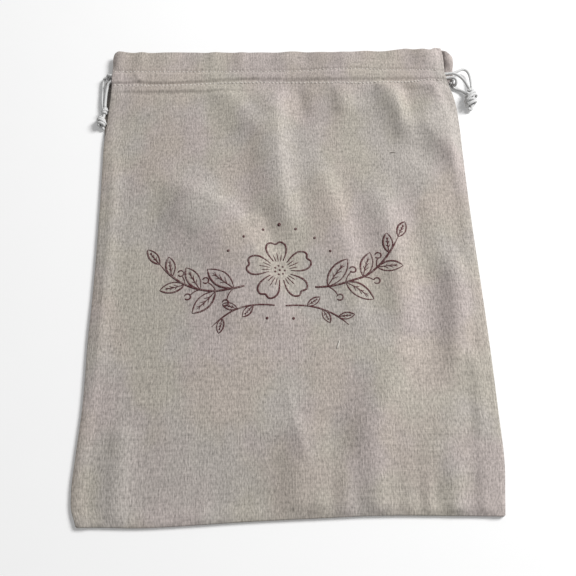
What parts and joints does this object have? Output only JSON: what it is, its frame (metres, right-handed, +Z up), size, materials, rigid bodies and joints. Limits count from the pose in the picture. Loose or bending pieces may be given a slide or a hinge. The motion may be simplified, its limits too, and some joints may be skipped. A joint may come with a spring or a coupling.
{
  "type": "drawstring bread bag",
  "caption": "Flat unlined linen bag for a loaf, lying on its back, with a frilled header above a stitched channel and knotted cotton drawcords at both sides.",
  "frame": {"origin": "under the middle of the back, on the surface that the bag lies on", "axes": "+Z up from the surface through the bag's front, +Y towards the bag's mouth, +X to the right of someone who looks at the front with the mouth away from them"},
  "size_m": [0.328, 0.4068, 0.0155],
  "materials": {
    "linen": "matt natural linen in a fine plain weave, with a dark maroon line print on the front",
    "cord": "matt white braided cotton"
  },
  "bodies": {
    "root": {"front_panel": "linen", "back_panel": "linen", "drawcord_left": "cord", "knot_left": "cord", "drawcord_right": "cord", "drawcord_right_tail": "cord", "knot_right": "cord"}
  },
  "joints": []
}
